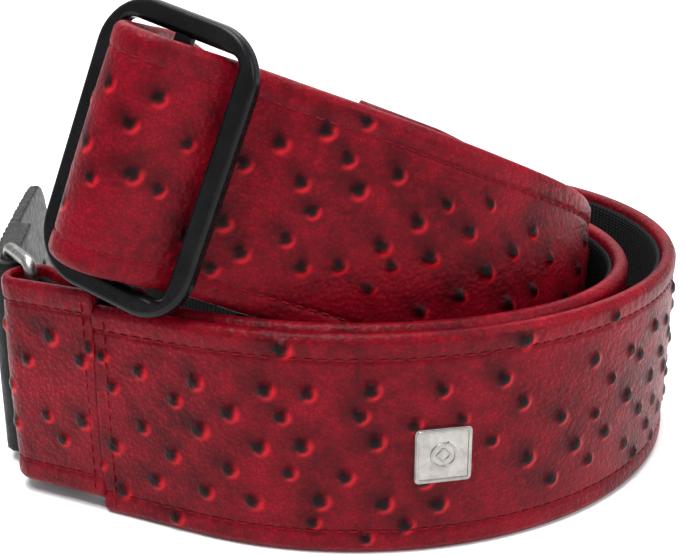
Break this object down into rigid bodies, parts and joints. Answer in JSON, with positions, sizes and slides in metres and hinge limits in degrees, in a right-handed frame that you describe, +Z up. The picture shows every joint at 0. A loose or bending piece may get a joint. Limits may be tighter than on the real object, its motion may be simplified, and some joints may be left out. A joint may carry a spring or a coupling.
{
  "type": "guitar strap",
  "caption": "Padded red leather guitar strap, coiled on its edge, with a buckle slider on one run, wire rings and black leather end tabs with button holes.",
  "frame": {"origin": "on the surface the coil stands on, under the middle of the whole part", "axes": "+Z up along the strap's width, +X to the right along the coil's long side, -Y towards the front turn that carries the badge"},
  "size_m": [0.1874, 0.1594, 0.1161],
  "materials": {
    "strap_leather": "glossy, quilled ostrich grain",
    "strap_core": "felt",
    "strap_webbing": "ribbed webbing",
    "slider_metal": "gloss black",
    "ring_metal": "satin",
    "tab_leather": "grained, raw edges",
    "badge_metal": "satin nickel"
  },
  "bodies": {
    "strap": {"outer_turn_leather": "strap_leather", "outer_turn_core": "strap_core", "outer_turn_webbing": "strap_webbing", "second_turn_leather": "strap_leather", "second_turn_core": "strap_core", "second_turn_webbing": "strap_webbing", "slider_wrap_leather": "strap_leather", "slider_wrap_core": "strap_core", "slider_wrap_webbing": "strap_webbing", "ring_fold_leather": "strap_leather", "ring_fold_core": "strap_core", "ring_fold_webbing": "strap_webbing", "rising_run_leather": "strap_leather", "rising_run_core": "strap_core", "rising_run_webbing": "strap_webbing", "front_panel_leather": "strap_leather", "front_panel_core": "strap_core", "front_panel_webbing": "strap_webbing", "return_run_leather": "strap_leather", "return_run_core": "strap_core", "return_run_webbing": "strap_webbing", "end_loop_leather": "strap_leather", "end_loop_lining": "strap_webbing", "fixed_end_tape": "strap_webbing", "badge_plate": "badge_metal", "badge_backing": "badge_metal", "badge_prongs": "badge_metal"},
    "slider": {"slider_frame": "slider_metal", "slider_bar": "slider_metal"},
    "ring_a": {"ring_a": "ring_metal"},
    "tab_a": {"tab_a": "tab_leather"},
    "ring_b": {"ring_b": "ring_metal"},
    "tab_b": {"tab_b": "tab_leather"}
  },
  "joints": [
    {"name": "slider_tilt", "type": "hinge", "parent": "strap", "child": "slider", "pos_m": [-0.03612, -0.06189, 0.0836], "axis": [0.3343, 0.0821, 0.9389], "range_deg": [-5, 0]},
    {"name": "ring_a_swing", "type": "hinge", "parent": "strap", "child": "ring_a", "pos_m": [-0.06709, -0.04652, 0.0285], "axis": [0, 0, 1], "range_deg": [-8, 50]},
    {"name": "tab_a_swing", "type": "hinge", "parent": "ring_a", "child": "tab_a", "pos_m": [-0.07608, -0.03269, 0.027], "axis": [0, 0, 1], "range_deg": [-10, 60]},
    {"name": "ring_b_swing", "type": "hinge", "parent": "strap", "child": "ring_b", "pos_m": [0.05575, 0.01933, 0.0285], "axis": [0, 0, 1], "range_deg": [-7, 5]},
    {"name": "tab_b_swing", "type": "hinge", "parent": "ring_b", "child": "tab_b", "pos_m": [0.04146, 0.02758, 0.027], "axis": [0, 0, 1], "range_deg": [-7, 5]}
  ]
}
